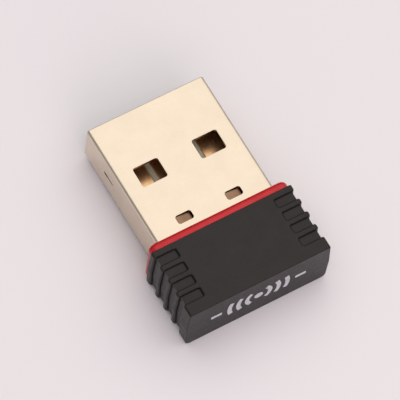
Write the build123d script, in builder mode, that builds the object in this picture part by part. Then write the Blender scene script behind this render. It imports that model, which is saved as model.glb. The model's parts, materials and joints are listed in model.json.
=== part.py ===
"""A nano USB WiFi adapter, as the assembly of its separate pieces.

Millimetres, +Z up, standing on the underside of its cap. The origin is the middle of that underside's
plane under the whole adapter. +Y points out of the plug's mouth, and the cap's end face is at -Y.
The circuit board is the plug's tongue: it runs from the plug's mouth back into the cap.
"""

import os
from math import asin, degrees

from build123d import *

# ---- Driving dimensions ---------------------------------------------------------------------------

# USB-A plug
PLUG_WIDTH = 12.1
PLUG_HEIGHT = 4.5
PLUG_REACH = 12.78  # from the collar's front face to the plug's mouth
SHEET = 0.3  # thickness of the folded sheet metal
SHELL_CORNER = 0.35  # outer fold radius
SHELL_INSERTION = 2.2  # how far the shell runs back behind the collar's front face

# Collar and cap
COLLAR_LENGTH = 0.79
CAP_LENGTH = 7.09
CAP_HEIGHT = 6.0
CAP_TOP_WIDTH = 14.48
CAP_PARTING_WIDTH = 14.82  # widest, at the mould's parting line
CAP_BOTTOM_WIDTH = 14.6
PARTING_Z = 3.0
CAP_TOP_RADIUS = 0.22
CAP_BOTTOM_RADIUS = 0.55
CAP_END_RADIUS = 0.12
CAP_FRONT_RADIUS = 0.1
CAP_END_WALL = 0.9
CAVITY_SIDE_PLAY = 0.1
CAVITY_TOP_PLAY = 0.05
PLUG_AXIS_Z = 2.85  # the plug sits a little low in the cap

# Grip pockets, which wrap from the top round the side to the underside
GRIP_COUNT = 4
GRIP_PITCH = 1.43
GRIP_FIRST = 0.64  # from the cap's front face to the first pocket
GRIP_LENGTH = 0.85
GRIP_DEPTH = 0.25
GRIP_INNER_X = 5.12
GRIP_INNER_RADIUS = 0.14
GRIP_RIM_RADIUS = 0.2

# Board and its gold fingers
BOARD_THICKNESS = 1.0
BOARD_SETBACK = 0.5  # from the plug's mouth to the board's front edge
BOARD_REAR_GAP = 0.23  # from the board's back edge to the cap's end wall
BOARD_STEP_SETBACK = 1.1  # from the shell's back edge to where the board gets wider
BOARD_PLUG_WIDTH = 11.3
BOARD_CAP_WIDTH = 12.0
POWER_FINGER = (2.72, 4.95)  # inner and outer edge, from the centre line
DATA_FINGER = (0.35, 2.08)
FINGER_SHIFT = 0.16  # the fingers lie a little to the right of the plug's middle
POWER_FINGER_START = 0.9  # from the plug's mouth
DATA_FINGER_START = 1.9
FINGER_END = 3.4  # ahead of the collar's front face
FINGER_RADIUS = 0.25
MOAT_WIDTH = 0.13  # bare laminate round each finger
MOAT_DEPTH = 0.2
FINGER_PROUD = 0.03

FIT_GAP = 0.03
TOLERANCE = 0.01  # for picking out the edges to be rounded

# ---- Derived places -------------------------------------------------------------------------------

TOTAL_LENGTH = PLUG_REACH + COLLAR_LENGTH + CAP_LENGTH
MOUTH_Y = TOTAL_LENGTH / 2
COLLAR_Y = MOUTH_Y - PLUG_REACH
CAP_Y = COLLAR_Y - COLLAR_LENGTH
END_Y = -TOTAL_LENGTH / 2
SHELL_REAR_Y = COLLAR_Y - SHELL_INSERTION
SHELL_LENGTH = MOUTH_Y - SHELL_REAR_Y

SHELL_TOP_Z = PLUG_AXIS_Z + PLUG_HEIGHT / 2
INNER_WIDTH = PLUG_WIDTH - 2 * SHEET
INNER_HEIGHT = PLUG_HEIGHT - 2 * SHEET
INNER_CORNER = SHELL_CORNER - SHEET
INNER_TOP_Z = SHELL_TOP_Z - SHEET
INNER_BOTTOM_Z = PLUG_AXIS_Z - PLUG_HEIGHT / 2 + SHEET

BOARD_TOP_Z = PLUG_AXIS_Z
BOARD_BOTTOM_Z = BOARD_TOP_Z - BOARD_THICKNESS
BOARD_FRONT_Y = MOUTH_Y - BOARD_SETBACK

CAP_CAVITY_WIDTH = PLUG_WIDTH + 2 * CAVITY_SIDE_PLAY
CAP_CAVITY_HEIGHT = PLUG_HEIGHT + 2 * CAVITY_TOP_PLAY
CAVITY_END_Y = END_Y + CAP_END_WALL
BOARD_REAR_Y = CAVITY_END_Y + BOARD_REAR_GAP
BOARD_STEP_Y = SHELL_REAR_Y - BOARD_STEP_SETBACK

GRIP_FRONT_Y = CAP_Y - GRIP_FIRST
GRIP_REAR_Y = GRIP_FRONT_Y - (GRIP_COUNT - 1) * GRIP_PITCH - GRIP_LENGTH

STAND = (Align.CENTER, Align.CENTER, Align.MIN)
HANG = (Align.CENTER, Align.CENTER, Align.MAX)


def section_plane(y):
    """A plane across the adapter at y: local x is +X, local y is +Z, and extrusions run back to -Y."""
    return Plane(origin=(0, y, 0), x_dir=(1, 0, 0), z_dir=(0, -1, 0))


def ahead(distance):
    """The y of a point that far in front of the collar's front face."""
    return COLLAR_Y + distance


def both_sides(x, y):
    """The two mirror places of a point."""
    return [(-x, y), (x, y)]


def save(piece, name):
    """Label a finished piece and write it to its own file."""
    piece.part.label = name
    export_step(piece.part, f"parts/{name}.step")


os.makedirs("parts", exist_ok=True)

# ---- Plug shell: folded tube, windows, lanced tongues, side slits, seam, solder tabs -------------

WINDOW_LENGTH = 2.05
WINDOW_WIDTH = 2.54
WINDOW_RADIUS = 0.22
WINDOW_RIM_RADIUS = 0.04
WINDOW_X = 3.05
WINDOW_FRONT = 5.24  # from the plug's mouth to a window's front edge
WINDOW_Y = MOUTH_Y - WINDOW_FRONT - WINDOW_LENGTH / 2

LANCE_X = 2.55
LANCE_Y = ahead(1.2)
LANCE_SLOT = (1.62, 0.9)
LANCE_RADIUS = 0.25
LANCE_DROPS = (0.08, 0.34)  # of the tongue's top, at its root and at its tip
LANCE_SIDE_GAP = 0.06
LANCE_TIP_GAP = 0.12

SLIT_Y = (ahead(7.8), ahead(9.35))
SLIT_Z = PLUG_AXIS_Z + 0.12
SLIT_HEIGHTS = (0.18, 0.4)  # at its back and its front end

SEAM_WIDTH = 0.05
SEAM_KEY_Y = ahead(6.6)  # middle of the dovetail
SEAM_KEY_NECK = 0.9
SEAM_KEY_HEAD = 1.5
SEAM_KEY_DEPTH = 0.8

TAB_LENGTH = 1.0
TAB_HEIGHT = 1.6
MOUTH_CHAMFER = 0.06

with BuildPart() as plug_shell:
    with BuildSketch(section_plane(MOUTH_Y)):
        with Locations((0, PLUG_AXIS_Z)):
            RectangleRounded(PLUG_WIDTH, PLUG_HEIGHT, SHELL_CORNER)
            RectangleRounded(INNER_WIDTH, INNER_HEIGHT, INNER_CORNER, mode=Mode.SUBTRACT)
    extrude(amount=SHELL_LENGTH)
    chamfer(plug_shell.faces().sort_by(Axis.Y)[-1].outer_wire().edges(), MOUTH_CHAMFER)
    with BuildSketch(Plane.XY):
        with Locations(*both_sides(WINDOW_X, WINDOW_Y)):
            RectangleRounded(WINDOW_WIDTH, WINDOW_LENGTH, WINDOW_RADIUS)
    extrude(amount=CAP_HEIGHT, mode=Mode.SUBTRACT)
    window_rims = [
        edge for edge in plug_shell.edges().group_by(Axis.Z)[-1]
        if abs(edge.center().X) < WINDOW_X + WINDOW_WIDTH / 2 + TOLERANCE
        and abs(edge.center().Y - WINDOW_Y) < WINDOW_LENGTH / 2 + TOLERANCE
    ]
    fillet(window_rims, WINDOW_RIM_RADIUS)
    with BuildSketch(Plane.XY.offset(SHELL_TOP_Z)):
        with Locations(*both_sides(LANCE_X, LANCE_Y)):
            RectangleRounded(*LANCE_SLOT, LANCE_RADIUS)
    extrude(amount=-2 * SHEET, mode=Mode.SUBTRACT)
    with BuildSketch(section_plane(LANCE_Y + LANCE_SLOT[1] / 2 - LANCE_SIDE_GAP)):
        with Locations(*both_sides(LANCE_X, SHELL_TOP_Z)):
            Polygon(
                (-LANCE_SLOT[0] / 2, -LANCE_DROPS[0]),
                (-LANCE_SLOT[0] / 2, -SHEET - LANCE_DROPS[0]),
                (LANCE_SLOT[0] / 2 - LANCE_TIP_GAP, -SHEET - LANCE_DROPS[1]),
                (LANCE_SLOT[0] / 2 - LANCE_TIP_GAP, -LANCE_DROPS[1]),
                align=None,
            )
    extrude(amount=LANCE_SLOT[1] - 2 * LANCE_SIDE_GAP)
    with BuildSketch(Plane.YZ.offset(-PLUG_WIDTH)):
        with Locations((0, SLIT_Z)):
            Polygon(
                (SLIT_Y[0], SLIT_HEIGHTS[0] / 2),
                (SLIT_Y[0], -SLIT_HEIGHTS[0] / 2),
                (SLIT_Y[1], -SLIT_HEIGHTS[1] / 2),
                (SLIT_Y[1], SLIT_HEIGHTS[1] / 2),
                align=None,
            )
    extrude(amount=2 * PLUG_WIDTH, mode=Mode.SUBTRACT)
    with BuildSketch(Plane.XY):
        with BuildLine():
            Polyline(
                (0, MOUTH_Y + 1),
                (0, SEAM_KEY_Y + SEAM_KEY_NECK / 2),
                (SEAM_KEY_DEPTH, SEAM_KEY_Y + SEAM_KEY_HEAD / 2),
                (SEAM_KEY_DEPTH, SEAM_KEY_Y - SEAM_KEY_HEAD / 2),
                (0, SEAM_KEY_Y - SEAM_KEY_NECK / 2),
                (0, SHELL_REAR_Y - 1),
            )
        trace(line_width=SEAM_WIDTH)
    extrude(amount=PLUG_AXIS_Z, mode=Mode.SUBTRACT)
    with Locations(
        *[(side * (PLUG_WIDTH - SHEET) / 2, SHELL_REAR_Y - TAB_LENGTH / 2, PLUG_AXIS_Z) for side in (-1, 1)]
    ):
        Box(SHEET, TAB_LENGTH, TAB_HEIGHT)
save(plug_shell, "plug_shell")

# ---- Outlines of the cap and its pockets, across the adapter -------------------------------------


def cap_outline(inset=0):
    """The cap's outline, seen along the plug's axis, taken in by inset all round."""
    with BuildSketch() as outline:
        Polygon(
            (-CAP_TOP_WIDTH / 2, CAP_HEIGHT),
            (CAP_TOP_WIDTH / 2, CAP_HEIGHT),
            (CAP_PARTING_WIDTH / 2, PARTING_Z),
            (CAP_BOTTOM_WIDTH / 2, 0),
            (-CAP_BOTTOM_WIDTH / 2, 0),
            (-CAP_PARTING_WIDTH / 2, PARTING_Z),
            align=None,
        )
        fillet(outline.vertices().group_by(Axis.Y)[-1], CAP_TOP_RADIUS)
        fillet(outline.vertices().group_by(Axis.Y)[0], CAP_BOTTOM_RADIUS)
        if inset > 0:
            offset(amount=-inset, kind=Kind.INTERSECTION, mode=Mode.REPLACE)
    return outline.sketch


# ---- Collar: thin ring round the plug, with a lip that locates it in the cap's mouth --------------

COLLAR_WIDTH = 14.24
COLLAR_INSET = 0.08  # below the cap's top and above its underside
COLLAR_CORNER = 0.8
COLLAR_ROUND = 0.4  # of its front edge
LIP_LENGTH = 0.5
LIP_THICKNESS = 0.24

with BuildPart() as collar:
    with BuildSketch(section_plane(COLLAR_Y)):
        with Locations((0, CAP_HEIGHT / 2)):
            RectangleRounded(COLLAR_WIDTH, CAP_HEIGHT - 2 * COLLAR_INSET, COLLAR_CORNER)
    extrude(amount=COLLAR_LENGTH)
    fillet(collar.faces().sort_by(Axis.Y)[-1].edges(), COLLAR_ROUND)
    with BuildSketch(section_plane(CAP_Y)):
        with Locations((0, PLUG_AXIS_Z)):
            RectangleRounded(
                PLUG_WIDTH + 2 * (FIT_GAP + LIP_THICKNESS),
                PLUG_HEIGHT + 2 * (FIT_GAP + LIP_THICKNESS),
                SHELL_CORNER + LIP_THICKNESS,
            )
    extrude(amount=LIP_LENGTH)
    with BuildSketch(section_plane(COLLAR_Y)):
        with Locations((0, PLUG_AXIS_Z)):
            RectangleRounded(PLUG_WIDTH + 2 * FIT_GAP, PLUG_HEIGHT + 2 * FIT_GAP, SHELL_CORNER + FIT_GAP)
    extrude(amount=COLLAR_LENGTH + LIP_LENGTH, mode=Mode.SUBTRACT)
save(collar, "collar")

# ---- End print: a dot between pairs of wave arcs, with a dash at each end -------------------------

PRINT_DEPTH = 0.05
PRINT_LINE = 0.46
PRINT_DOT_RADIUS = 0.45
PRINT_ARC_RADII = (1.2, 2.1, 3.0)
PRINT_ARC_SPAN = 100
PRINT_HEIGHT = 2.1
PRINT_Z = PLUG_AXIS_Z + 0.35
PRINT_DASH = (3.8, 4.9)

with BuildPart() as end_print:
    with BuildSketch(section_plane(END_Y)):
        with Locations((0, PRINT_Z)):
            Circle(PRINT_DOT_RADIUS)
    for radius in PRINT_ARC_RADII:
        # a wide arc spans less, so that none is taller than the print
        half_angle = min(PRINT_ARC_SPAN / 2, degrees(asin(PRINT_HEIGHT / 2 / radius)))
        for middle_angle in (0, 180):
            with BuildSketch(section_plane(END_Y)):
                with BuildLine():
                    CenterArc((0, PRINT_Z), radius, middle_angle - half_angle, 2 * half_angle)
                trace(line_width=PRINT_LINE)
    for side in (-1, 1):
        with BuildSketch(section_plane(END_Y)):
            with BuildLine():
                Line((side * PRINT_DASH[0], PRINT_Z), (side * PRINT_DASH[1], PRINT_Z))
            trace(line_width=PRINT_LINE)
    extrude(amount=-PRINT_DEPTH)
save(end_print, "end_print")

# ---- Housing cap: box with grip pockets, open towards the plug ------------------------------------

RAIL_INNER_X = 5.4
RAIL_SETBACK = 0.2  # behind the place where the board gets wider
RIB_LENGTH = 0.7

RAIL_FRONT_Y = BOARD_STEP_Y - RAIL_SETBACK

cavity_half = CAP_CAVITY_WIDTH / 2
rail_x = (RAIL_INNER_X + cavity_half) / 2
rail_width = cavity_half - RAIL_INNER_X
cavity_bottom_z = PLUG_AXIS_Z - CAP_CAVITY_HEIGHT / 2
cavity_top_z = PLUG_AXIS_Z + CAP_CAVITY_HEIGHT / 2

cap_outline_wire = cap_outline().wire()


def is_grip_rim(edge):
    """Whether an edge runs along the rim of a grip pocket, on the cap's full outline."""
    middle = edge.position_at(0.5)
    beside_a_pocket = GRIP_REAR_Y - TOLERANCE < middle.Y < GRIP_FRONT_Y + TOLERANCE
    on_outline = cap_outline_wire.distance_to(Vertex(middle.X, middle.Z, 0)) < TOLERANCE
    crosswise = edge.bounding_box().size.Y < TOLERANCE
    at_inner_end = abs(abs(middle.X) - GRIP_INNER_X) < GRIP_INNER_RADIUS
    return beside_a_pocket and on_outline and (crosswise or at_inner_end)


with BuildPart() as housing_cap:
    with BuildSketch(section_plane(CAP_Y)):
        add(cap_outline())
    extrude(amount=CAP_LENGTH)
    fillet(housing_cap.faces().sort_by(Axis.Y)[0].edges(), CAP_END_RADIUS)
    fillet(housing_cap.faces().sort_by(Axis.Y)[-1].edges(), CAP_FRONT_RADIUS)
    for pocket in range(GRIP_COUNT):
        with BuildSketch(section_plane(GRIP_FRONT_Y - pocket * GRIP_PITCH)):
            with Locations(*both_sides(GRIP_INNER_X + CAP_HEIGHT / 2, CAP_HEIGHT / 2)):
                Rectangle(CAP_HEIGHT, 2 * CAP_HEIGHT)
            add(cap_outline(GRIP_DEPTH), mode=Mode.SUBTRACT)
        extrude(amount=GRIP_LENGTH, mode=Mode.SUBTRACT)
    # rounded inner corners, then softened rims all round each pocket
    inner_corners = [
        edge for edge in housing_cap.edges().filter_by(Axis.Z)
        if abs(abs(edge.center().X) - GRIP_INNER_X) < TOLERANCE
    ]
    fillet(inner_corners, GRIP_INNER_RADIUS)
    fillet([edge for edge in housing_cap.edges() if is_grip_rim(edge)], GRIP_RIM_RADIUS)
    with BuildSketch(section_plane(CAP_Y)):
        with Locations((0, PLUG_AXIS_Z)):
            RectangleRounded(CAP_CAVITY_WIDTH, CAP_CAVITY_HEIGHT, SHELL_CORNER)
    extrude(amount=CAP_LENGTH - CAP_END_WALL, mode=Mode.SUBTRACT)
    with BuildSketch(section_plane(CAP_Y)):
        with Locations((0, PLUG_AXIS_Z)):
            RectangleRounded(
                PLUG_WIDTH + 2 * (2 * FIT_GAP + LIP_THICKNESS),
                PLUG_HEIGHT + 2 * (2 * FIT_GAP + LIP_THICKNESS),
                SHELL_CORNER + LIP_THICKNESS,
            )
    extrude(amount=LIP_LENGTH + FIT_GAP, mode=Mode.SUBTRACT)
    # rails under the board's edges
    with BuildSketch(Plane.XY.offset(cavity_bottom_z)):
        with Locations(*both_sides(rail_x, (RAIL_FRONT_Y + CAVITY_END_Y) / 2)):
            Rectangle(rail_width, RAIL_FRONT_Y - CAVITY_END_Y)
    extrude(amount=BOARD_BOTTOM_Z - cavity_bottom_z)
    # ribs that hold the board down on the rails
    with BuildSketch(Plane.XY.offset(BOARD_TOP_Z)):
        with Locations(*both_sides(rail_x, CAVITY_END_Y + RIB_LENGTH / 2)):
            Rectangle(rail_width, RIB_LENGTH)
    extrude(amount=cavity_top_z - BOARD_TOP_Z)
    add(end_print.part, mode=Mode.SUBTRACT)
save(housing_cap, "housing_cap")

# ---- Circuit board: the tongue in the plug, wider inside the cap ----------------------------------

BOARD_EDGE_CHAMFER = 0.25

power_x = sum(POWER_FINGER) / 2
data_x = sum(DATA_FINGER) / 2
power_width = POWER_FINGER[1] - POWER_FINGER[0]
data_width = DATA_FINGER[1] - DATA_FINGER[0]
FINGERS = {
    "contact_vbus": (FINGER_SHIFT - power_x, power_width, MOUTH_Y - POWER_FINGER_START),
    "contact_data_minus": (FINGER_SHIFT - data_x, data_width, MOUTH_Y - DATA_FINGER_START),
    "contact_data_plus": (FINGER_SHIFT + data_x, data_width, MOUTH_Y - DATA_FINGER_START),
    "contact_ground": (FINGER_SHIFT + power_x, power_width, MOUTH_Y - POWER_FINGER_START),
}

with BuildPart() as circuit_board:
    with BuildSketch(Plane.XY.offset(BOARD_BOTTOM_Z)):
        with Locations((0, (BOARD_FRONT_Y + BOARD_REAR_Y) / 2)):
            Rectangle(BOARD_PLUG_WIDTH, BOARD_FRONT_Y - BOARD_REAR_Y)
        with Locations((0, (BOARD_STEP_Y + BOARD_REAR_Y) / 2)):
            Rectangle(BOARD_CAP_WIDTH, BOARD_STEP_Y - BOARD_REAR_Y)
    extrude(amount=BOARD_THICKNESS)
    chamfer(circuit_board.edges().filter_by(Axis.X).group_by(Axis.Y)[-1], BOARD_EDGE_CHAMFER)
    for finger_x, finger_width, start_y in FINGERS.values():
        with BuildSketch(Plane.XY.offset(BOARD_TOP_Z)):
            with Locations((finger_x, (start_y + ahead(FINGER_END)) / 2)):
                RectangleRounded(
                    finger_width + 2 * MOAT_WIDTH,
                    start_y - ahead(FINGER_END) + 2 * MOAT_WIDTH,
                    FINGER_RADIUS + MOAT_WIDTH,
                )
        extrude(amount=-MOAT_DEPTH, mode=Mode.SUBTRACT)
save(circuit_board, "circuit_board")

# ---- Gold fingers, each in its moat ---------------------------------------------------------------

for finger_name, (finger_x, finger_width, start_y) in FINGERS.items():
    with BuildPart() as finger:
        with BuildSketch(Plane.XY.offset(BOARD_TOP_Z - MOAT_DEPTH)):
            with Locations((finger_x, (start_y + ahead(FINGER_END)) / 2)):
                RectangleRounded(finger_width, start_y - ahead(FINGER_END), FINGER_RADIUS)
        extrude(amount=MOAT_DEPTH + FINGER_PROUD)
    save(finger, finger_name)

# ---- Board carrier: fills the plug under the tongue, with hollows for the socket's springs --------

CARRIER_REAR = 3.5  # ahead of the collar's front face
SPRING_HOLLOW = (3.0, 2.6, 0.45)

with BuildPart() as board_carrier:
    with BuildSketch(Plane.XY.offset(INNER_BOTTOM_Z)):
        with Locations((0, (BOARD_FRONT_Y + ahead(CARRIER_REAR)) / 2)):
            Rectangle(BOARD_PLUG_WIDTH, BOARD_FRONT_Y - ahead(CARRIER_REAR))
    extrude(amount=BOARD_BOTTOM_Z - INNER_BOTTOM_Z)
    chamfer(board_carrier.faces().sort_by(Axis.Z)[0].edges(), BOARD_EDGE_CHAMFER)
    with Locations(*[(*place, INNER_BOTTOM_Z) for place in both_sides(WINDOW_X, WINDOW_Y)]):
        Box(*SPRING_HOLLOW, align=STAND, mode=Mode.SUBTRACT)
save(board_carrier, "board_carrier")

# ---- Retainer block: over the board at the back of the plug, locked by the lanced tongues ---------

RETAINER_FRONT = 2.6  # ahead of the collar's front face
RETAINER_REAR = -0.3
LANCE_HOLLOW = (1.9, 1.1, 0.7)

with BuildPart() as retainer_block:
    with BuildSketch(Plane.XY.offset(BOARD_TOP_Z)):
        with Locations((0, (ahead(RETAINER_FRONT) + ahead(RETAINER_REAR)) / 2)):
            Rectangle(BOARD_PLUG_WIDTH, RETAINER_FRONT - RETAINER_REAR)
    extrude(amount=INNER_TOP_Z - BOARD_TOP_Z)
    chamfer(retainer_block.faces().sort_by(Axis.Z)[-1].edges(), BOARD_EDGE_CHAMFER)
    with Locations(*[(*place, INNER_TOP_Z) for place in both_sides(LANCE_X, LANCE_Y)]):
        Box(*LANCE_HOLLOW, align=HANG, mode=Mode.SUBTRACT)
save(retainer_block, "retainer_block")

# ---- Radio chip, under the board inside the plug's back end ---------------------------------------

CHIP_SIZE = (6.5, 4.5, 0.8)
CHIP_Y = ahead(0.6)
CHIP_STANDOFF = 0.05
CHIP_LAND = (0.22, 0.45)
CHIP_LAND_PITCH = 0.45
CHIP_LANDS_LONG = 13
CHIP_LANDS_SHORT = 8
CHIP_LAND_OVERHANG = 0.08
CHIP_HEAT_PAD = (4.4, 2.6)
CHIP_EDGE_CHAMFER = 0.06

with BuildPart() as wifi_chip:
    with Locations((0, CHIP_Y, BOARD_BOTTOM_Z - CHIP_STANDOFF)):
        Box(*CHIP_SIZE, align=HANG)
    chamfer(wifi_chip.faces().sort_by(Axis.Z)[0].edges(), CHIP_EDGE_CHAMFER)
save(wifi_chip, "wifi_chip")

land_row_x = CHIP_SIZE[0] / 2 + CHIP_LAND_OVERHANG - CHIP_LAND[1] / 2
land_row_y = CHIP_SIZE[1] / 2 + CHIP_LAND_OVERHANG - CHIP_LAND[1] / 2

with BuildPart() as wifi_chip_terminals:
    with BuildSketch(Plane.XY.offset(BOARD_BOTTOM_Z)):
        with Locations((0, CHIP_Y)):
            with GridLocations(CHIP_LAND_PITCH, 2 * land_row_y, CHIP_LANDS_LONG, 2):
                Rectangle(*CHIP_LAND)
            with GridLocations(2 * land_row_x, CHIP_LAND_PITCH, 2, CHIP_LANDS_SHORT):
                Rectangle(CHIP_LAND[1], CHIP_LAND[0])
            Rectangle(*CHIP_HEAT_PAD)
    extrude(amount=-CHIP_STANDOFF)
save(wifi_chip_terminals, "wifi_chip_terminals")

# ---- Clock crystal ---------------------------------------------------------------------------------

CRYSTAL_SIZE = (3.2, 2.5, 0.5)
CRYSTAL_LID = (2.8, 2.1, 0.2)
CRYSTAL_AT = (-3.4, ahead(-2.0))
CRYSTAL_RADIUS = 0.25

with BuildPart() as crystal_base:
    with BuildSketch(Plane.XY.offset(BOARD_TOP_Z)):
        with Locations(CRYSTAL_AT):
            RectangleRounded(*CRYSTAL_SIZE[:2], CRYSTAL_RADIUS)
    extrude(amount=CRYSTAL_SIZE[2])
save(crystal_base, "crystal_base")

with BuildPart() as crystal_lid:
    with BuildSketch(Plane.XY.offset(BOARD_TOP_Z + CRYSTAL_SIZE[2])):
        with Locations(CRYSTAL_AT):
            RectangleRounded(*CRYSTAL_LID[:2], CRYSTAL_RADIUS)
    extrude(amount=CRYSTAL_LID[2])
save(crystal_lid, "crystal_lid")

# ---- Voltage regulator with its five leads ---------------------------------------------------------

REGULATOR_SIZE = (2.9, 1.6, 0.9)
REGULATOR_STANDOFF = 0.1
REGULATOR_AT = (3.0, ahead(-2.1))
REGULATOR_BEVEL = 0.12
LEAD_SPAN = 2.8
LEAD_WIDTH = 0.4
LEAD_THICKNESS = 0.15
LEAD_PITCH = 0.95
LEAD_SHOULDER_Z = 0.5
LEAD_FOOT = 0.35

with BuildPart() as voltage_regulator:
    with Locations((*REGULATOR_AT, BOARD_TOP_Z + REGULATOR_STANDOFF)):
        Box(*REGULATOR_SIZE, align=STAND)
    chamfer(voltage_regulator.faces().sort_by(Axis.Z)[-1].edges(), REGULATOR_BEVEL)
save(voltage_regulator, "voltage_regulator")

with BuildPart() as regulator_leads:
    for row, columns in ((1, (-1, 0, 1)), (-1, (-1, 1))):
        for column in columns:
            lead_plane = Plane(
                origin=(REGULATOR_AT[0] + column * LEAD_PITCH, REGULATOR_AT[1], BOARD_TOP_Z),
                x_dir=(0, row, 0),
                z_dir=(row, 0, 0),
            )
            with BuildSketch(lead_plane):
                Polygon(
                    (REGULATOR_SIZE[1] / 2, LEAD_SHOULDER_Z),
                    (LEAD_SPAN / 2 - LEAD_FOOT, LEAD_SHOULDER_Z),
                    (LEAD_SPAN / 2 - LEAD_FOOT + LEAD_THICKNESS, LEAD_THICKNESS),
                    (LEAD_SPAN / 2, LEAD_THICKNESS),
                    (LEAD_SPAN / 2, 0),
                    (LEAD_SPAN / 2 - LEAD_FOOT, 0),
                    (LEAD_SPAN / 2 - LEAD_FOOT - LEAD_THICKNESS, LEAD_SHOULDER_Z - LEAD_THICKNESS),
                    (REGULATOR_SIZE[1] / 2, LEAD_SHOULDER_Z - LEAD_THICKNESS),
                    align=None,
                )
            extrude(amount=LEAD_WIDTH / 2, both=True)
save(regulator_leads, "regulator_leads")

# ---- Small two-ended parts -------------------------------------------------------------------------

SIZE_0402 = (1.0, 0.5, 0.5)
SIZE_0402_RESISTOR = (1.0, 0.5, 0.35)
SIZE_0603 = (1.6, 0.8, 0.8)
SIZE_INDUCTOR = (2.0, 1.6, 1.0)
END_LENGTH_SMALL = 0.22
END_LENGTH_LARGE = 0.32
ALONG_X = 0
ALONG_Y = 90
TOP = 1
UNDERSIDE = -1

# each row: name, size, length of a metal end, direction, side of the board, places
PASSIVES = [
    ("decoupling_capacitors", SIZE_0402, END_LENGTH_SMALL, ALONG_Y, UNDERSIDE,
     [(side * 4.1, ahead(step)) for side in (-1, 1) for step in (-0.6, 0.8, 2.2)]),
    ("decoupling_capacitors", SIZE_0402, END_LENGTH_SMALL, ALONG_X, TOP,
     [(-4.4, ahead(-3.75)), (-3.1, ahead(-3.75))]),
    ("bulk_capacitors", SIZE_0603, END_LENGTH_LARGE, ALONG_X, TOP, [(-0.6, ahead(-2.95))]),
    ("bulk_capacitors", SIZE_0603, END_LENGTH_LARGE, ALONG_Y, TOP, [(5.05, ahead(-1.35))]),
    ("chip_resistors", SIZE_0402_RESISTOR, END_LENGTH_SMALL, ALONG_Y, UNDERSIDE,
     [(side * 5.0, ahead(step)) for side in (-1, 1) for step in (0.1, 1.5)]),
    ("chip_resistors", SIZE_0402_RESISTOR, END_LENGTH_SMALL, ALONG_X, TOP,
     [(-1.8, ahead(-3.9)), (-0.5, ahead(-3.9))]),
    ("antenna_matching_parts", SIZE_0402, END_LENGTH_SMALL, ALONG_X, TOP,
     [(0.8, ahead(-3.9)), (2.1, ahead(-3.9)), (3.4, ahead(-3.9))]),
    ("ferrite_bead", SIZE_0603, END_LENGTH_LARGE, ALONG_Y, TOP, [(0.85, ahead(-1.6))]),
    ("power_inductor", SIZE_INDUCTOR, END_LENGTH_LARGE, ALONG_X, TOP, [(-0.7, ahead(-1.5))]),
]


def board_face(side):
    """The plane on the board's top or underside."""
    return Plane.XY.offset(BOARD_TOP_Z if side == TOP else BOARD_BOTTOM_Z)


for kind in dict.fromkeys(row[0] for row in PASSIVES):
    with BuildPart() as bodies:
        for row_kind, size, end_length, direction, side, places in PASSIVES:
            if row_kind == kind:
                with BuildSketch(board_face(side)):
                    with Locations(*[Location((*place, 0), (0, 0, direction)) for place in places]):
                        Rectangle(size[0] - 2 * end_length, size[1])
                extrude(amount=side * size[2])
    save(bodies, kind)

for terminals_name, is_inductor in (("passive_terminals", False), ("inductor_terminals", True)):
    with BuildPart() as terminals:
        for row_kind, size, end_length, direction, side, places in PASSIVES:
            if (row_kind == "power_inductor") == is_inductor:
                with BuildSketch(board_face(side)):
                    with Locations(*[Location((*place, 0), (0, 0, direction)) for place in places]):
                        with GridLocations(size[0] - end_length, 0, 2, 1):
                            Rectangle(end_length, size[1])
                extrude(amount=side * size[2])
    save(terminals, terminals_name)

# ---- Printed antenna: copper meander along the board's back edge ----------------------------------

ANTENNA_THICKNESS = 0.05
ANTENNA_LINE = 0.4
ANTENNA_FEED_X = 3.4
ANTENNA_PITCH = 0.9
ANTENNA_LEGS = 9
ANTENNA_FRONT_Y = ahead(-4.55)
ANTENNA_REAR_Y = BOARD_REAR_Y + 0.45

meander = []
for leg in range(ANTENNA_LEGS):
    leg_x = ANTENNA_FEED_X - leg * ANTENNA_PITCH
    ends = (ANTENNA_FRONT_Y, ANTENNA_REAR_Y) if leg % 2 == 0 else (ANTENNA_REAR_Y, ANTENNA_FRONT_Y)
    meander += [(leg_x, ends[0]), (leg_x, ends[1])]

with BuildPart() as printed_antenna:
    with BuildSketch(Plane.XY.offset(BOARD_TOP_Z)):
        with BuildLine():
            Polyline(*meander)
        trace(line_width=ANTENNA_LINE)
    extrude(amount=ANTENNA_THICKNESS)
save(printed_antenna, "printed_antenna")

# ---- Solder joints between the shell's tabs and the board -----------------------------------------

SOLDER_REACH = 0.6
SOLDER_LENGTH = 0.7

with BuildPart() as shell_solder_joints:
    for side in (-1, 1):
        with BuildSketch(section_plane(SHELL_REAR_Y - (TAB_LENGTH - SOLDER_LENGTH) / 2)):
            Polygon(
                (side * INNER_WIDTH / 2, BOARD_TOP_Z),
                (side * INNER_WIDTH / 2, BOARD_TOP_Z + SOLDER_REACH),
                (side * (INNER_WIDTH / 2 - SOLDER_REACH), BOARD_TOP_Z),
                align=None,
            )
        extrude(amount=SOLDER_LENGTH)
save(shell_solder_joints, "shell_solder_joints")
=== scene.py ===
"""The looks of the nano USB WiFi adapter: materials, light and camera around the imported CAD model.

Blender units are metres. Sizes below are in millimetres where a name ends in _MM, and MM turns them
into metres. The plug points to +Y, the cap's end face looks to -Y and the adapter stands on z = 0.
"""

import json
import math

import bpy
from mathutils import Matrix, Vector


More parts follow.
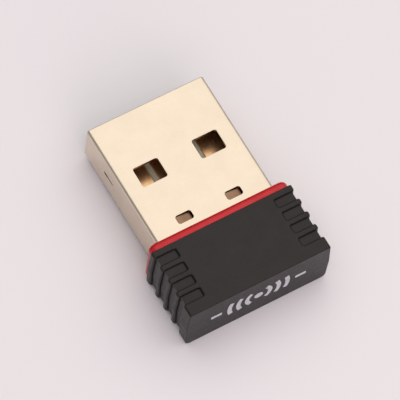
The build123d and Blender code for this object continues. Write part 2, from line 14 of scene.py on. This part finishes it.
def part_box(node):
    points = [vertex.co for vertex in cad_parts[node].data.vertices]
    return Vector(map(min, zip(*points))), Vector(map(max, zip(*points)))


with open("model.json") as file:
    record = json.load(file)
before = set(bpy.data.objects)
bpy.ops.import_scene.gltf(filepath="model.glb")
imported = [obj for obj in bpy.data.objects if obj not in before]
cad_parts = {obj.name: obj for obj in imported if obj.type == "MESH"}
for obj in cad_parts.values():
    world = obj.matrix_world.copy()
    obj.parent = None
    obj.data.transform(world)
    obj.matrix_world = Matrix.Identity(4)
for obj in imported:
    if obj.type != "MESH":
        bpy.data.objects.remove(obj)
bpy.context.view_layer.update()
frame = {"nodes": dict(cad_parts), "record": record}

MM = 0.001

# ---- Camera: a long lens, looking down over the cap's left back corner ----------------------------

CAMERA_LENS_MM = 395.0
SENSOR_MM = 36.0
CAMERA_DISTANCE = 0.395
CAMERA_ELEVATION = 63.5
CAMERA_HEADING = 38.5  # degrees of the view direction from +Y towards +X
CAMERA_ROLL = 9.4
CAMERA_TARGET_MM = (0.21, 0.44, 2.85)

# ---- Light ----------------------------------------------------------------------------------------

SKY_HORIZON = 0.12
SKY_ZENITH = 0.60
KEY_DIRECTION = (0.35, 0.15, 1.0)
KEY_DISTANCE = 0.5
KEY_SIZE = 1.0
KEY_POWER = 2.6
KEY_COLOR = (1.0, 0.96, 0.87)
FILL_DIRECTION = (-0.2, -1.0, 0.45)
FILL_DISTANCE = 0.6
FILL_SIZE = 0.5
FILL_POWER = 1.5
FILL_COLOR = (1.0, 0.82, 0.87)
FLOOR_SIZE = 1.2

# ---- Where the plug and the collar change tone: their painted shade, and the mouth's browner edge ---

SHELL_SHADE_INSET_MM = (0.2, -1.0, 0.06)  # depth below the plug's sides, ends (none) and top where the painted shade of the tube's inside starts
MOUTH_EDGE_MM = 0.08  # how far the sheared edge's browner tone reaches back from the mouth
COLLAR_SHADE_MM = (0.3, 0.5)  # behind the collar's front face, where the painted shade on its rounded front ends and the red turns paler


class Material:
    """A node material with one Principled shader, and short calls for the nodes that feed it."""

    def __init__(self, name, roughness=0.5, metallic=0.0, specular=0.5):
        self.data = bpy.data.materials.new(name)
        self.data.use_nodes = True
        self.nodes = self.data.node_tree.nodes
        self.links = self.data.node_tree.links
        self.nodes.clear()
        output = self.nodes.new("ShaderNodeOutputMaterial")
        self.shader = self.nodes.new("ShaderNodeBsdfPrincipled")
        self.links.new(self.shader.outputs["BSDF"], output.inputs["Surface"])
        self.shader.inputs["Roughness"].default_value = roughness
        self.shader.inputs["Metallic"].default_value = metallic
        self.shader.inputs["Specular IOR Level"].default_value = specular
        self.place = self.nodes.new("ShaderNodeTexCoord").outputs["Object"]

    def link(self, output, socket):
        self.links.new(output, self.shader.inputs[socket])

    def stretched(self, x, y, z):
        """Object coordinates, multiplied along each axis."""
        mapping = self.nodes.new("ShaderNodeMapping")
        mapping.inputs["Scale"].default_value = (x, y, z)
        self.links.new(self.place, mapping.inputs["Vector"])
        return mapping.outputs["Vector"]

    def noise(self, size_mm, detail=4.0, roughness=0.55, vector=None):
        """Noise whose blobs are about size_mm across."""
        node = self.nodes.new("ShaderNodeTexNoise")
        node.inputs["Scale"].default_value = 1.0 / (size_mm * MM)
        node.inputs["Detail"].default_value = detail
        node.inputs["Roughness"].default_value = roughness
        self.links.new(vector or self.place, node.inputs["Vector"])
        return node.outputs["Fac"]

    def cells(self, size_mm):
        """Distance to the nearest of many scattered points, about size_mm apart."""
        node = self.nodes.new("ShaderNodeTexVoronoi")
        node.inputs["Scale"].default_value = 1.0 / (size_mm * MM)
        self.links.new(self.place, node.inputs["Vector"])
        return node.outputs["Distance"]

    def ramp(self, factor, *stops):
        """A colour ramp: each stop is a position and a colour or a grey value."""
        node = self.nodes.new("ShaderNodeValToRGB")
        elements = node.color_ramp.elements
        while len(elements) < len(stops):
            elements.new(0.5)
        for element, (position, color) in zip(elements, stops):
            element.position = position
            element.color = (*color, 1.0) if isinstance(color, tuple) else (color, color, color, 1.0)
        self.links.new(factor, node.inputs["Fac"])
        return node.outputs["Color"]

    def span(self, factor, low, high, start=0.3, end=0.7):
        """The factor's stretch from start to end, mapped to low to high."""
        node = self.nodes.new("ShaderNodeMapRange")
        node.inputs["From Min"].default_value = start
        node.inputs["From Max"].default_value = end
        node.inputs["To Min"].default_value = low
        node.inputs["To Max"].default_value = high
        self.links.new(factor, node.inputs["Value"])
        return node.outputs["Result"]

    def math(self, operation, first, second):
        node = self.nodes.new("ShaderNodeMath")
        node.operation = operation
        for value, socket in zip((first, second), node.inputs):
            if isinstance(value, (int, float)):
                socket.default_value = value
            else:
                self.links.new(value, socket)
        return node.outputs["Value"]

    def mix(self, factor, first, second):
        """A blend of two colours."""
        node = self.nodes.new("ShaderNodeMix")
        node.data_type = "RGBA"
        self.links.new(factor, node.inputs["Factor"])
        self.links.new(first, node.inputs["A"])
        self.links.new(second, node.inputs["B"])
        return node.outputs["Result"]

    def coordinates(self):
        """The x, y and z of the point, in metres."""
        split = self.nodes.new("ShaderNodeSeparateXYZ")
        self.links.new(self.place, split.inputs["Vector"])
        return split.outputs

    def inside_box(self, low_corner, high_corner):
        """1 inside the box between two corners, 0 outside it."""
        inside = 1.0
        for place, low, high in zip(self.coordinates(), low_corner, high_corner):
            distance = self.math("ABSOLUTE", self.math("SUBTRACT", place, (low + high) / 2), 0.0)
            inside = self.math("MULTIPLY", self.math("LESS_THAN", distance, (high - low) / 2), inside)
        return inside

    def along_y(self, low, high):
        """0 behind y = low, rising evenly to 1 at y = high."""
        return self.span(self.coordinates()["Y"], 0.0, 1.0, low, high)

    def bump(self, height, depth_mm, strength=1.0, below=None):
        node = self.nodes.new("ShaderNodeBump")
        node.inputs["Distance"].default_value = depth_mm * MM
        node.inputs["Strength"].default_value = strength
        self.links.new(height, node.inputs["Height"])
        if below:
            self.links.new(below, node.inputs["Normal"])
        return node.outputs["Normal"]


def plated_shell():
    """Satin pale gold over rolled steel: fine grain, faint drawing lines along the plug, handling haze.

    Inside the folded tube and on its bent tongues the base colour is a dark brown painted shade, for the
    shade in those recesses. On the mouth's sheared edge the plating is thin, so the metal is browner.
    """
    m = Material("plated_shell", metallic=1.0)
    haze = m.noise(2.2, detail=6.0)
    grain = m.noise(0.11, detail=3.0)
    mottle = m.math("ADD", m.math("MULTIPLY", haze, 0.6), m.math("MULTIPLY", grain, 0.4))
    outside = m.ramp(mottle, (0.3, (0.675, 0.585, 0.475)), (0.7, (0.775, 0.675, 0.555)))
    # inside: painted shade, a dark brown standing in for the shade inside the tube, on its bent tongues and
    # on the window walls
    inside = m.ramp(mottle, (0.35, (0.20, 0.115, 0.07)), (0.65, (0.32, 0.20, 0.135)))
    sheared = m.ramp(mottle, (0.3, (0.34, 0.27, 0.21)), (0.7, (0.46, 0.38, 0.31)))
    # painted shade: everywhere deeper than the inset below the plug's sides and top, the base colour is the
    # dark inside one
    low_corner, high_corner = [Vector(corner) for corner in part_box("plug_shell")]
    skin = Vector(SHELL_SHADE_INSET_MM) * MM
    painted_shade_mask = m.inside_box(low_corner + skin, high_corner - skin)
    reach = MOUTH_EDGE_MM * MM
    edge = m.along_y(high_corner.y - reach, high_corner.y - reach / 2)
    m.link(m.mix(edge, m.mix(painted_shade_mask, outside, inside), sheared), "Base Color")
    lines = m.noise(0.12, detail=2.0, vector=m.stretched(1.0, 0.04, 1.0))
    m.link(m.span(m.math("ADD", grain, m.math("MULTIPLY", haze, 0.6)), 0.27, 0.40, 0.5, 1.1), "Roughness")
    fine = m.bump(grain, 0.004, 0.5)
    m.link(m.bump(lines, 0.002, 0.35, below=fine), "Normal")
    return m.data


def gold_plate():
    """Satin gold fingers, with faint wiping marks along the plug."""
    m = Material("gold_plate", metallic=1.0)
    tone = m.noise(0.8)
    m.link(m.ramp(tone, (0.3, (0.88, 0.52, 0.26)), (0.7, (0.95, 0.60, 0.32))), "Base Color")
    wipes = m.noise(0.1, vector=m.stretched(1.0, 0.05, 1.0))
    m.link(m.span(wipes, 0.26, 0.34), "Roughness")
    m.link(m.bump(wipes, 0.0006, 0.5), "Normal")
    return m.data


def red_plastic():
    """Semi-gloss red moulding with painted shade: darker red on its rounded front, paler where it meets the
    cap.
    """
    m = Material("red_plastic", specular=0.24)
    flow = m.noise(1.4, detail=3.0)
    # lit and shaded copies of one red: the darker is painted shade for the collar's rounded front, the paler
    # is for its flat band by the cap
    shaded_red = m.ramp(flow, (0.3, (0.44, 0.001, 0.004)), (0.7, (0.50, 0.002, 0.007)))
    pale = m.ramp(flow, (0.3, (0.52, 0.020, 0.028)), (0.7, (0.58, 0.030, 0.038)))
    front_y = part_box("collar")[1][1]
    shade_full, shade_start = COLLAR_SHADE_MM
    # the painted shade blends from the paler red into the darker one towards the collar's front
    front = m.along_y(front_y - shade_start * MM, front_y - shade_full * MM)
    m.link(m.mix(front, pale, shaded_red), "Base Color")
    skin = m.noise(0.07, detail=2.0)
    m.link(m.span(skin, 0.16, 0.26), "Roughness")
    m.link(m.bump(skin, 0.004, 0.35), "Normal")
    return m.data


def black_plastic():
    """Black moulding from a spark-eroded mould: fine pebble grain, paler where the grain stands up."""
    m = Material("black_plastic", specular=0.32)
    pebbles = m.cells(0.075)
    cloud = m.noise(1.6, detail=4.0)
    tint = m.math("ADD", m.math("MULTIPLY", pebbles, 0.35), m.math("MULTIPLY", cloud, 0.75))
    m.link(m.ramp(tint, (0.35, (0.0078, 0.0056, 0.0056)), (0.75, (0.0140, 0.0106, 0.0106))), "Base Color")
    m.link(m.span(m.noise(0.25), 0.36, 0.46), "Roughness")
    coarse = m.bump(m.noise(0.16, detail=2.0), 0.006, 0.35)
    m.link(m.bump(pebbles, 0.006, 0.5, below=coarse), "Normal")
    return m.data


def white_ink():
    """Pad-printed ink: cool white, thin in specks where the plastic's grain shows through."""
    m = Material("white_ink", specular=0.35)
    specks = m.noise(0.1, detail=3.0)
    m.link(m.ramp(specks, (0.28, (0.22, 0.22, 0.24)), (0.44, (0.52, 0.53, 0.57)), (0.7, (0.62, 0.63, 0.67))),
           "Base Color")
    m.link(m.span(specks, 0.62, 0.48), "Roughness")
    m.link(m.bump(specks, 0.006, 0.5), "Normal")
    return m.data


def board_laminate():
    """Pale solder mask over woven glass laminate."""
    m = Material("board_laminate", specular=0.5)
    weave = m.nodes.new("ShaderNodeTexWave")
    weave.inputs["Scale"].default_value = 1.0 / (0.9 * MM)
    weave.inputs["Distortion"].default_value = 1.5
    m.links.new(m.place, weave.inputs["Vector"])
    woven = m.math("MULTIPLY", weave.outputs["Fac"], 0.35)
    tone = m.math("ADD", woven, m.math("MULTIPLY", m.noise(0.4), 0.65))
    m.link(m.ramp(tone, (0.25, (0.68, 0.61, 0.45)), (0.75, (0.80, 0.73, 0.57))), "Base Color")
    m.link(m.span(m.noise(0.2), 0.42, 0.55), "Roughness")
    m.link(m.bump(weave.outputs["Fac"], 0.004, 0.3), "Normal")
    return m.data


def moulded(name, low, high, roughness, grain_mm=0.12, depth_mm=0.006):
    """A plain moulded or fired surface between two close tones, with a fine skin."""
    m = Material(name, specular=0.45)
    m.link(m.ramp(m.noise(0.7), (0.3, low), (0.7, high)), "Base Color")
    skin = m.noise(grain_mm, detail=3.0)
    m.link(m.span(skin, roughness - 0.06, roughness + 0.06), "Roughness")
    m.link(m.bump(skin, depth_mm, 0.5), "Normal")
    return m.data


def bare_metal(name, low, high, roughness, grain_mm=0.15):
    """A bright metal between two close tones, with a slightly uneven surface."""
    m = Material(name, metallic=1.0)
    m.link(m.ramp(m.noise(0.6), (0.3, low), (0.7, high)), "Base Color")
    skin = m.noise(grain_mm, detail=2.0)
    m.link(m.span(skin, roughness - 0.07, roughness + 0.07), "Roughness")
    m.link(m.bump(skin, 0.004, 0.5), "Normal")
    return m.data


MATERIALS = {
    "plated_shell": plated_shell(),
    "gold_plate": gold_plate(),
    "red_plastic": red_plastic(),
    "black_plastic": black_plastic(),
    "white_ink": white_ink(),
    "board_laminate": board_laminate(),
    "insert_plastic": moulded("insert_plastic", (0.020, 0.019, 0.018), (0.032, 0.030, 0.029), 0.48),
    "chip_epoxy": moulded("chip_epoxy", (0.026, 0.026, 0.028), (0.040, 0.040, 0.042), 0.55, grain_mm=0.06),
    "white_ceramic": moulded("white_ceramic", (0.66, 0.65, 0.61), (0.76, 0.75, 0.71), 0.42, grain_mm=0.06),
    "tan_ceramic": moulded("tan_ceramic", (0.34, 0.22, 0.12), (0.45, 0.30, 0.17), 0.40, grain_mm=0.05),
    "resistor_black": moulded("resistor_black", (0.015, 0.015, 0.016), (0.028, 0.028, 0.030), 0.25),
    "dark_ferrite": moulded("dark_ferrite", (0.055, 0.052, 0.05), (0.085, 0.08, 0.076), 0.50, grain_mm=0.07),
    "solder": bare_metal("solder", (0.62, 0.63, 0.65), (0.74, 0.75, 0.76), 0.28),
    "plated_lid": bare_metal("plated_lid", (0.70, 0.62, 0.44), (0.78, 0.70, 0.52), 0.30),
    "copper": bare_metal("copper", (0.66, 0.30, 0.17), (0.78, 0.38, 0.22), 0.35),
}

node_slots = {entry["node"]: entry["material_slot"] for entry in frame["record"]["subparts"]}
for node, piece in frame["nodes"].items():
    piece.data.materials.clear()
    piece.data.materials.append(MATERIALS[node_slots[node]])


# ---- Floor, light and camera ----------------------------------------------------------------------


def make_floor():
    """A plain pale table top."""
    half = FLOOR_SIZE / 2
    mesh = bpy.data.meshes.new("floor")
    corners = [(-half, -half, 0), (half, -half, 0), (half, half, 0), (-half, half, 0)]
    mesh.from_pydata(corners, [], [(0, 1, 2, 3)])
    floor = bpy.data.objects.new("floor", mesh)
    bpy.context.scene.collection.objects.link(floor)
    m = Material("floor", roughness=0.55, specular=0.3)
    m.link(m.ramp(m.noise(40.0), (0.3, (0.815, 0.79, 0.835)), (0.7, (0.825, 0.80, 0.845))), "Base Color")
    mesh.materials.append(m.data)


def make_area_light(name, direction, distance, size, power, color):
    """A square soft light that looks at the origin."""
    lamp = bpy.data.lights.new(name, "AREA")
    lamp.size = size
    lamp.energy = power
    lamp.color = color
    light = bpy.data.objects.new(name, lamp)
    bpy.context.scene.collection.objects.link(light)
    away = Vector(direction).normalized()
    light.location = away * distance
    light.rotation_euler = away.to_track_quat("Z", "Y").to_euler()


def make_camera():
    """A camera by its heading, elevation, roll and distance from its target."""
    heading = math.radians(CAMERA_HEADING)
    elevation = math.radians(CAMERA_ELEVATION)
    look = Vector((
        math.cos(elevation) * math.sin(heading),
        math.cos(elevation) * math.cos(heading),
        -math.sin(elevation),
    ))
    turn = look.to_track_quat("-Z", "Y").to_matrix() @ Matrix.Rotation(math.radians(CAMERA_ROLL), 3, "Z")
    data = bpy.data.cameras.new("camera")
    data.lens = CAMERA_LENS_MM
    data.sensor_width = SENSOR_MM
    data.clip_start = 0.01
    camera = bpy.data.objects.new("camera", data)
    bpy.context.scene.collection.objects.link(camera)
    eye = Vector(CAMERA_TARGET_MM) * MM - look * CAMERA_DISTANCE
    camera.matrix_world = Matrix.Translation(eye) @ turn.to_4x4()
    bpy.context.scene.camera = camera


def make_sky():
    """Studio light from all round, brighter overhead than along the table."""
    world = bpy.data.worlds.new("studio")
    world.use_nodes = True
    nodes = world.node_tree.nodes
    links = world.node_tree.links
    background = nodes["Background"]
    background.inputs["Color"].default_value = (1.0, 0.97, 0.97, 1.0)
    direction = nodes.new("ShaderNodeTexCoord").outputs["Generated"]
    split = nodes.new("ShaderNodeSeparateXYZ")
    links.new(direction, split.inputs["Vector"])
    height = nodes.new("ShaderNodeMapRange")
    height.inputs["To Min"].default_value = SKY_HORIZON
    height.inputs["To Max"].default_value = SKY_ZENITH
    links.new(split.outputs["Z"], height.inputs["Value"])
    links.new(height.outputs["Result"], background.inputs["Strength"])
    bpy.context.scene.world = world


make_floor()
make_sky()
make_area_light("key", KEY_DIRECTION, KEY_DISTANCE, KEY_SIZE, KEY_POWER, KEY_COLOR)
make_area_light("fill", FILL_DIRECTION, FILL_DISTANCE, FILL_SIZE, FILL_POWER, FILL_COLOR)
make_camera()
bpy.context.scene.view_settings.view_transform = "Standard"
